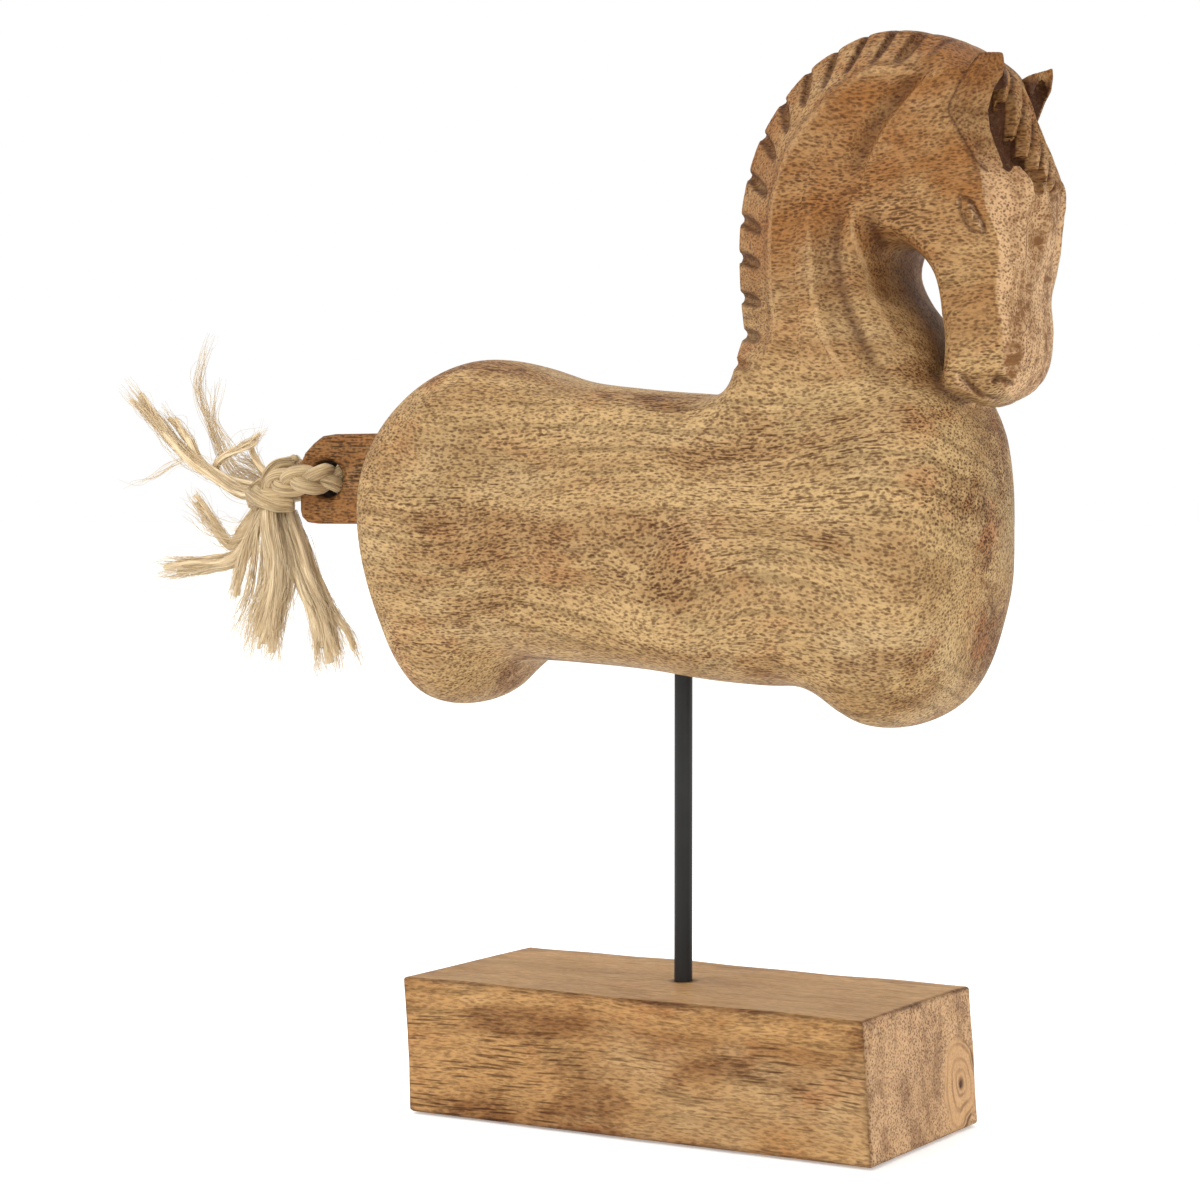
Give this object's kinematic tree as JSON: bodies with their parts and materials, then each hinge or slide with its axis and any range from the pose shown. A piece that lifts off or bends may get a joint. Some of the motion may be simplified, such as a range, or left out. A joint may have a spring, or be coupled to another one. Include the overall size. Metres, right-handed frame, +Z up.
{
  "type": "dala horse",
  "caption": "Carved wooden horse torso with arched neck and lowered head, held by a black rod above a wooden block, with a frayed rope tail.",
  "frame": {"origin": "on the table plane, under the middle of the carved horse's overall length (tail tab to forehead) and on its middle plane; the rod stands 16 mm ahead of it", "axes": "+X towards the horse's head, +Y towards its left side, +Z up"},
  "size_m": [0.4781, 0.106, 0.4655],
  "materials": {
    "carved_wood": "sanded, waxed and burnished light mango wood with dark pores",
    "tab_wood": "darker waxed wood",
    "block_wood": "sanded and waxed light wood",
    "black_steel": "satin black",
    "zinc_steel": "zinc plated",
    "felt": "stick-on felt",
    "sisal": "raw straw-coloured fibre"
  },
  "bodies": {
    "stand": {"base_block": "block_wood", "base_pads": "felt", "support_rod": "black_steel", "rod_washer": "zinc_steel", "rod_nut": "zinc_steel", "horse_body": "carved_wood", "tail_tab": "tab_wood"},
    "tail": {"tail_rope": "sisal", "tail_knot": "sisal", "tail_tuft_upper_long": "sisal", "tail_tuft_upper_thin": "sisal", "tail_tuft_top_short": "sisal", "tail_tuft_back": "sisal", "tail_tuft_lower_back": "sisal", "tail_tuft_lower_front": "sisal"}
  },
  "joints": [
    {"name": "tail_swing", "type": "hinge", "parent": "stand", "child": "tail", "pos_m": [-0.171, 0, 0.283], "axis": [0, 1, 0], "range_deg": [-15, 35]}
  ]
}
